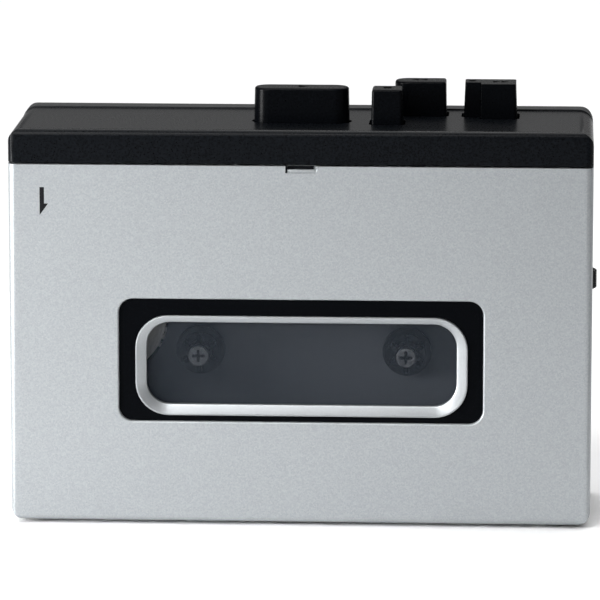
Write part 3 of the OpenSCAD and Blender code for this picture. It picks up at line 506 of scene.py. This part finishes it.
# Place (left, right, front, back), corner radii, reach of the flange on each side, stem (x, depth)
KEYS = {
    "play": ((-10, 9.5, 10.6, 17), (3.1, 3.1, 3.1, 3.1), (0.9, 0.9, 0.9, 0.9), (0, 13.8)),
    "stop": ((13.9, 20.4, 9.2, 16), (0.7, 0.7, 0.7, 0.7), (0.9, 0.9, 0.9, 0.9), (17.2, 12.7)),
    "rewind": ((18.2, 29, 21.5, 27.8), (3, 0.6, 0.6, 3), (0.9, 0.9, 0.9, 0.9), (23.6, 26.3)),
    "record": ((32.4, 35.985, 20.9, 26.2), (0.5, 0.15, 0.15, 0.5), (0.9, -0.3, 0.9, 0.9),
               (34.1, 25.4)),
    "forward": ((36.015, 43.5, 18.5, 26.2), (0.15, 0.7, 0.7, 0.15), (-0.3, 0.9, 0.9, 0.9),
                (40.6, 25.3)),
}
BETWEEN = {"record": 35.985, "forward": 36.015}


def block(bm, x0, x1, y0, y1, z0, z1, edge):
    """A box with broken edges, added to the drawing."""
    made = bmesh.ops.create_cube(bm, size=1)["verts"]
    bmesh.ops.scale(bm, vec=(x1 - x0, y1 - y0, z1 - z0), verts=made)
    bmesh.ops.translate(bm, vec=((x0 + x1) / 2, (y0 + y1) / 2, (z0 + z1) / 2), verts=made)
    edges = list(dict.fromkeys(e for v in made for e in v.link_edges))
    bmesh.ops.bevel(bm, geom=edges, offset=edge, offset_type="OFFSET", segments=2, profile=0.5,
                    affect="EDGES", material=-1)


def key_piece(key):
    """A cap with leaning walls and a round top, its flange and its stem."""
    (x0, x1, t0, t1), radii, (left, right, front, back), (stem_x, stem_t) = KEYS[key]
    bm = bmesh.new()
    foot = rounded_face(bm, x0, x1, depth_y(t0), depth_y(t1), radii, CAP_FOOT, 8)
    top = pushed(bm, [foot], (0, 0, KEY_TOP - CAP_FOOT))
    inner_x = BETWEEN.get(key)
    middle = Vector(((x0 + x1) / 2 if inner_x is None else inner_x, depth_y((t0 + t1) / 2), 0))
    narrow = (1 - 2 * DRAW_IN / (x1 - x0), 1 - 2 * DRAW_IN / (t1 - t0), 1)
    bmesh.ops.scale(bm, vec=narrow, space=Matrix.Translation(-middle), verts=top)
    bmesh.ops.recalc_face_normals(bm, faces=bm.faces)
    rim = [e for e in bm.edges if min(v.co.z for v in e.verts) > KEY_TOP - 0.01]
    if inner_x is not None:
        rim = [e for e in rim if max(abs(v.co.x - inner_x) for v in e.verts) > UPRIGHT_BAND]
    bmesh.ops.bevel(bm, geom=rim, offset=KEY_ROUND, offset_type="OFFSET", segments=5, profile=0.5,
                    affect="EDGES", clamp_overlap=True, material=-1)
    block(bm, x0 - left, x1 + right, depth_y(t0 - front), depth_y(t1 + back), *FLANGE, BROKEN_EDGE)
    block(bm, stem_x - STEM_HALF[0], stem_x + STEM_HALF[0], depth_y(stem_t - STEM_HALF[1]),
          depth_y(stem_t + STEM_HALF[1]), STEM_FOOT, STEM_HEAD, BROKEN_EDGE)
    finish_piece(bm, key + "_cap", key_moulding, key + "_button", key + "_key")


for key in KEYS:
    key_piece(key)

# %% [markdown]
# In the nail notch of the door, black blocks paint the shade. A low bar across the notch stands in for
# the dark gap under the black top, and a short leg at its left end paints the shadow line along that
# end. Only their fronts show, so two blocks that reach into the skin are enough. Below the bar a silver
# step stands a little behind the door's face, where a finger nail takes hold.

# %% Painted shade in the nail notch
SHADE_LEFT, BAR_RIGHT, LEG_RIGHT = NOTCH_X[0] - 0.02, NOTCH_X[1] - 0.40, NOTCH_X[0] + 0.34
BAR_FRONT, LEG_FRONT, SHADE_BACK = depth_y(0.90), depth_y(0.08), depth_y(1.3)
STEP_LEFT, STEP_RIGHT = NOTCH_X[0] + 0.42, NOTCH_X[1] - 0.12
STEP_FRONT, STEP_BACK = depth_y(0.28), depth_y(0.86)
NOTCH_FOOT, SHADE_TOP, STEP_TOP = NOTCH_Z - 0.05, NOTCH_Z + 1.46, NOTCH_Z + 0.74
# Painted shade: a black bar under the black top and a black leg along the notch's left end.
shade_bm = bmesh.new()
block(shade_bm, SHADE_LEFT, BAR_RIGHT, BAR_FRONT, SHADE_BACK, NOTCH_FOOT, SHADE_TOP, SMALL_EDGE)
block(shade_bm, SHADE_LEFT, LEG_RIGHT, LEG_FRONT, SHADE_BACK, NOTCH_FOOT, SHADE_TOP, SMALL_EDGE)
finish_piece(shade_bm, "notch_shade_blocks", black_moulding, "door")
step_bm = bmesh.new()
block(step_bm, STEP_LEFT, STEP_RIGHT, STEP_FRONT, STEP_BACK, NOTCH_FOOT, STEP_TOP, FINE_ROUND)
finish_piece(step_bm, "notch_step", silver_paint, "door")

# %% [markdown]
# A coil spring under each flange pushes its key back up. In the real thing the coil gets shorter when
# the key goes down, while its foot stays on the guide plate. Here each coil is a rigid copy that rides
# on its body. The coils are drawn in by a tenth, so that a key passes its neighbour's coil.

# %% Key springs
COIL_FOOT, COIL_LENGTH, KEY_TRAVEL, COIL_DRAW_IN = 73.6, 5.15, 2.6, 0.9
for key, (_, _, _, (stem_x, stem_t)) in KEYS.items():
    node = key + "_spring"
    coil_bm = cad_copy(node)
    stem_axis = Matrix.Translation((-stem_x, -depth_y(stem_t), 0))
    bmesh.ops.scale(coil_bm, vec=(COIL_DRAW_IN, COIL_DRAW_IN, 1), space=stem_axis, verts=coil_bm.verts)
    coil = finish_piece(coil_bm, key + "_coil", turned_steel, body_of_node[node], node)
    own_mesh(coil)

# %% [markdown]
# Each key top carries its sign: a triangle to play, a square to stop, double triangles to wind and a
# round dot to record. Cut letters would need holes in the caps, while a printed sign is a film of ink.
# So each sign is a flat shape five hundredths of a millimetre thick that lies on its cap.

# %% Signs on the keys
# Corners, shift to the right and size of each shape; a minus size points it to the left
SIGNS = {"play": [(3, 0, 1.25)], "stop": [(4, 0, 1.15)],
         "rewind": [(3, -0.85, -0.95), (3, 0.85, -0.95)], "record": [(28, 0, 0.75)],
         "forward": [(3, -0.85, 0.95), (3, 0.85, 0.95)]}
SIGN_THICK, SIGN_SUNK = 0.05, 0.02


def sign_piece(key):
    """The shapes of one sign, side by side in the middle of their cap."""
    x0, x1, t0, t1 = KEYS[key][0]
    bm = bmesh.new()
    for corners, shift, size in SIGNS[key]:
        shape = bmesh.ops.create_circle(bm, cap_ends=True, segments=corners, radius=abs(size))["verts"]
        turned(bm, {3: -90 if size > 0 else 90, 4: 45}.get(corners, 0), "Z", shape)
        place = ((x0 + x1) / 2 + shift, depth_y((t0 + t1) / 2), KEY_TOP - SIGN_SUNK)
        bmesh.ops.translate(bm, vec=place, verts=shape)
    pushed(bm, list(bm.faces), (0, 0, SIGN_THICK))
    bmesh.ops.recalc_face_normals(bm, faces=bm.faces)
    finish_piece(bm, key + "_sign", key_ink_and_cross_shade, key + "_button")


for key in SIGNS:
    sign_piece(key)

# %% [markdown]
# The black top, the frame and the rear cover are the rest of the casing. They meet in fine parting
# lines. Two mouldings never meet in a perfect edge: each edge is broken, and along the top the rear
# cover stands a third of a millimetre proud, so that a small misfit never shows. That step could be a
# second solid, but lifting the upper points of the cover's copy is enough. The same small round goes
# along the rims of the key slots.

# %% Casing
PART_T, CORNER = 30.2, 3.0
HALF_W, HEIGHT = 59.0, 81.5
RISE_FROM, REAR_RISE, REAR_ROUND, LID_ROUND = 76.0, 0.34, 0.10, 0.22


def on_parting_line(p):
    """True on the outer edge of the joint between the rear cover and the rest of the casing."""
    past_x = max(abs(p.x) - (HALF_W - CORNER), 0)
    past_z = max(abs(p.z - HEIGHT / 2) - (HEIGHT / 2 - CORNER), 0)
    return abs(p.y - depth_y(PART_T)) < TOUCH and math.hypot(past_x, past_z) > CORNER - 0.35


def shell_piece(node, name, groove, raised=0.0):
    """A casing shell with its own round along the parting line and a fine one on its other edges."""
    bm = cad_copy(node)
    for v in bm.verts:
        v.co.z += raised * min(max((v.co.z - RISE_FROM) / (HEIGHT - RISE_FROM), 0), 1)
    line = soften(bm, groove, 3, where=on_parting_line)
    rest = soften(bm, FINE_ROUND, 2, where=lambda p: abs(p.y - depth_y(PART_T)) > 0.6)
    print(name, "edges rounded:", line, "on the parting line,", rest, "elsewhere")
    finish_piece(bm, name, finish_of[node], body_of_node[node], node)


shell_piece("top_panel", "top_shell", FINE_ROUND)
shell_piece("main_frame", "side_shell", FINE_ROUND)
shell_piece("rear_cover", "rear_shell", REAR_ROUND, raised=REAR_RISE)
soft_copy("battery_door", LID_ROUND, new_name="battery_lid")

# %% [markdown]
# The volume dial shows only a sliver of its rim, but that sliver is ribbed. A circle whose every third
# point is pulled in gives the ribs, and an inset on both faces keeps the flats clear of the ribs.

# %% Volume dial
DIAL_X, DIAL_T, DIAL_R, DIAL_Z = 53.5, 24.0, 6.5, (46.0, 49.4)
RIM_POINTS, GROOVE_EVERY, GROOVE_SHARE = 144, 3, 0.955
dial_bm = bmesh.new()
rim = bmesh.ops.create_circle(dial_bm, cap_ends=True, segments=RIM_POINTS, radius=DIAL_R)["verts"]
grooves = [v for i, v in enumerate(rim) if i % GROOVE_EVERY == 0]
bmesh.ops.scale(dial_bm, vec=(GROOVE_SHARE, GROOVE_SHARE, 1), verts=grooves)
bmesh.ops.translate(dial_bm, vec=(DIAL_X, depth_y(DIAL_T), DIAL_Z[0]), verts=dial_bm.verts)
pushed(dial_bm, list(dial_bm.faces), (0, 0, DIAL_Z[1] - DIAL_Z[0]))
bmesh.ops.recalc_face_normals(dial_bm, faces=dial_bm.faces)
flats = [f for f in dial_bm.faces if abs(f.normal.z) > 0.9]
bmesh.ops.inset_region(dial_bm, faces=flats, thickness=0.5, depth=0.0, use_even_offset=True)
finish_piece(dial_bm, "dial_wheel", key_moulding, "dial", "volume_dial", corner=50)

# %% [markdown]
# A half arrow is printed on the door, beside the corner where a thumb pulls it open. It is a film of
# ink, so it is drawn as a thin flat shape: a bar, with a barb on one side that ends in the tip.

# %% Arrow on the door
ARROW = [(-52.55, 69.65), (-51.65, 69.65), (-51.65, 66.3), (-50.85, 66.3), (-52.55, 63.95)]
ARROW_SUNK, ARROW_THICK = 0.01, 0.03
arrow_bm = bmesh.new()
arrow_face = arrow_bm.faces.new([arrow_bm.verts.new((x, depth_y(ARROW_SUNK), z)) for x, z in ARROW])
pushed(arrow_bm, [arrow_face], (0, -ARROW_THICK, 0))
bmesh.ops.recalc_face_normals(arrow_bm, faces=arrow_bm.faces)
finish_piece(arrow_bm, "open_arrow", mark_ink, "door")

# %% [markdown]
# Behind the window, and when the door is open, the deck shows. Its solids have the right shapes, and
# each gets the small rounds that pressed, turned and moulded pieces have, so that edges catch light.

# %% Soft edges on the deck
DECK_EDGES = {"spindle_left": 0.12, "spindle_right": 0.12, "spindle_screw_left": 0.12,
              "spindle_screw_right": 0.12, "deck_plate": 0.15, "head_bridge": 0.12,
              "tape_head": 0.25, "pinch_arm_left": 0.1, "pinch_arm_right": 0.1,
              "pinch_roller_left": 0.25, "pinch_roller_right": 0.25, "capstan_left": 0.15,
              "capstan_right": 0.15, "bridge_screws": 0.1, "deck_screws": 0.1,
              "relay_wheel": 0.12, "cassette_holder": 0.15, "case_screws": 0.1, "headphone_jack": 0.2,
              "power_jack": 0.2, "key_guide": 0.1, "deck_pins": 0.15}
for name, width in DECK_EDGES.items():
    soft_copy(name, width)

# %% [markdown]
# The pale wheel at the left of the deck is a moulding with ribs, because a thick plain disc would sink
# in as it cools. Each round rib is a small rectangle spun about the wheel's axis, and the straight ones
# are blocks turned in steps. All of them stay behind the front of the deck plate.

# %% Ribs of the pale wheel
WHEEL_X, WHEEL_Z = -41.0, 40.0
WHEEL_FRONT, RIB_FRONT, RIB_EDGE = 18.4, 18.06, 0.08
ROUND_RIBS = ((1.6, 3.3), (11.2, 12.0))
SPOKE_FROM, SPOKE_TO, SPOKE_HALF, SPOKE_FRONT = 3.2, 11.3, 0.4, RIB_FRONT + 0.03
SPOKE_STEP, SPOKE_START = 60, 12
ribs_bm = bmesh.new()
for inner, outer in ROUND_RIBS:
    corners = [ribs_bm.verts.new((x, depth_y(t), 0)) for x, t in (
        (inner, WHEEL_FRONT), (inner, RIB_FRONT + RIB_EDGE), (inner + RIB_EDGE, RIB_FRONT),
        (outer - RIB_EDGE, RIB_FRONT), (outer, RIB_FRONT + RIB_EDGE), (outer, WHEEL_FRONT))]
    profile = [ribs_bm.edges.new(pair) for pair in zip(corners, corners[1:] + corners[:1])]
    bmesh.ops.spin(ribs_bm, geom=corners + profile, cent=(0, 0, 0), axis=(0, 1, 0),
                   angle=math.radians(360), steps=72, use_merge=True)
for turn in range(0, 360, SPOKE_STEP):
    before = set(ribs_bm.verts)
    block(ribs_bm, SPOKE_FROM, SPOKE_TO, depth_y(SPOKE_FRONT), depth_y(WHEEL_FRONT),
          -SPOKE_HALF, SPOKE_HALF, SMALL_EDGE)
    turned(ribs_bm, turn + SPOKE_START, "Y", [v for v in ribs_bm.verts if v not in before])
bmesh.ops.remove_doubles(ribs_bm, verts=ribs_bm.verts, dist=0.0001)
bmesh.ops.recalc_face_normals(ribs_bm, faces=ribs_bm.faces)
bmesh.ops.translate(ribs_bm, vec=(WHEEL_X, 0, WHEEL_Z), verts=ribs_bm.verts)
finish_piece(ribs_bm, "wheel_ribs", pale_moulding, body_of_node["relay_wheel"])

# %% [markdown]
# Each screw has a cross for the driver. Only a shadow would tell it from the head, and a bright head
# drowns that. So the bottom of each cross gets a thin dark plate, which paints the shade that the
# recess would hold.

# %% Painted shade in the screw crosses
SMALL_ARM, LARGE_ARM, ARM_SHARE, ARM_EDGE = 2.54, 2.92, 0.22, 0.02
REEL_X, REEL_Z = 21.25, 33.5
REEL_DEPTHS, CASE_DEPTHS, DECK_DEPTHS = (8.95, 9.3), (34.9, 35.2), (17.4, 17.7)
BOSS_PLACES = [(x, z) for x in (-53.5, 53.5) for z in (24.5, 70.0)]


def paint_cross_shade(name, body, places, arm, depths):
    """Two crossed dark bars of painted shade in the recess of each head, at places (x, z), between two
    depths.
    """
    bm = bmesh.new()
    front, back = (depth_y(t) for t in depths)
    for x, z in places:
        for wide, tall in ((arm, arm * ARM_SHARE), (arm * ARM_SHARE, arm)):
            block(bm, x - wide / 2, x + wide / 2, front, back, z - tall / 2, z + tall / 2, ARM_EDGE)
    finish_piece(bm, name, key_ink_and_cross_shade, body)


# Painted shade: dark plates in the cross recesses of the reel, case and deck screws.
paint_cross_shade("cross_shade_left", "reel_left", [(-REEL_X, REEL_Z)], SMALL_ARM, REEL_DEPTHS)
paint_cross_shade("cross_shade_right", "reel_right", [(REEL_X, REEL_Z)], SMALL_ARM, REEL_DEPTHS)
paint_cross_shade("case_cross_shades", "case", BOSS_PLACES, LARGE_ARM, CASE_DEPTHS)
paint_cross_shade("deck_cross_shades", "case", BOSS_PLACES, SMALL_ARM, DECK_DEPTHS)

# %% [markdown]
# The picture is taken almost square to the front, a little from above and from the right, through a
# long lens. A shifted lens could keep every edge of the front exactly parallel, but every other view
# keeps the shift too, so the camera is only turned and tilted.

# %% Camera
CAMERA_DOWN, CAMERA_LEFT = 10.548, 2.969
camera_data = bpy.data.cameras.new("studio_camera")
camera_data.lens = 300
camera_data.sensor_width = 36
camera_data.clip_end = 20
camera = bpy.data.objects.new("studio_camera", camera_data)
camera.location = (0.05146, -1.00914, 0.23180)
camera.rotation_euler = (math.radians(90 - CAMERA_DOWN), 0, math.radians(CAMERA_LEFT))
bpy.context.scene.collection.objects.link(camera)
bpy.context.scene.camera = camera
print("camera at", [round(v, 3) for v in camera.location])

# %% [markdown]
# The floor is a wide pale sheet. A large soft light hangs above and behind, so that the floor stays
# white. The front has two lights of its own at the left, one high and one low, so that the silver falls
# off to the right and the round edges of the black get a soft line. Their beams are narrow, since light
# on the floor in front would be mirrored in the black. A wide low light at the back gives the top its
# sheen, and a small one high in front draws a soft line along its round front edge.

# %% Floor and light
floor_bm = bmesh.new()
bmesh.ops.create_grid(floor_bm, x_segments=8, y_segments=8, size=4.0)
floor_mesh = bpy.data.meshes.new("floor")
floor_bm.to_mesh(floor_mesh)
floor_bm.free()
floor = bpy.data.objects.new("floor", floor_mesh)
bpy.context.scene.collection.objects.link(floor)
floor_paper = grained("floor_paper", (0.90, 0.90, 0.905), 0.85, cells=300, mottle=0.01, height=0.002)
floor_mesh.materials.append(floor_paper)

world = bpy.data.worlds.new("studio_air")
world.use_nodes = True
air = world.node_tree.nodes["Background"]
air.inputs["Color"].default_value = (1, 1, 1, 1)
air.inputs["Strength"].default_value = 0.14
bpy.context.scene.world = world
bpy.context.scene.view_settings.view_transform = "Standard"


def soft_light(name, place, aim, size, power, beam=180):
    """A flat light of that size in metres, turned to its aim, with a beam of so many degrees."""
    data = bpy.data.lights.new(name, "AREA")
    data.shape = "RECTANGLE"
    data.size, data.size_y = size
    data.energy = power
    data.spread = math.radians(beam)
    light = bpy.data.objects.new(name, data)
    light.location = place
    light.rotation_euler = (Vector(aim) - Vector(place)).to_track_quat("-Z", "Y").to_euler()
    light.visible_camera = False
    bpy.context.scene.collection.objects.link(light)
    print(name, "at", place, "with", power, "W")


soft_light("light_above", (0, 0.75, 1.5), (0, 0.45, 0), (2.0, 2.0), 35)
soft_light("light_left", (-0.40, -0.21, 0.10), (-0.05, -0.018, 0.05), (0.16, 0.16), 0.38, beam=55)
soft_light("light_front", (-0.28, -0.55, 0.42), (-0.07, 0, 0.06), (0.32, 0.50), 0.455, beam=50)
soft_light("light_back", (-0.2, 1.7, 0.45), (0, 0, 0.06), (2.2, 0.7), 0.8)
soft_light("light_rim", (-0.09, -0.50, 0.78), (-0.01, -0.01, 0.08), (0.24, 0.34), 0.065, beam=26)
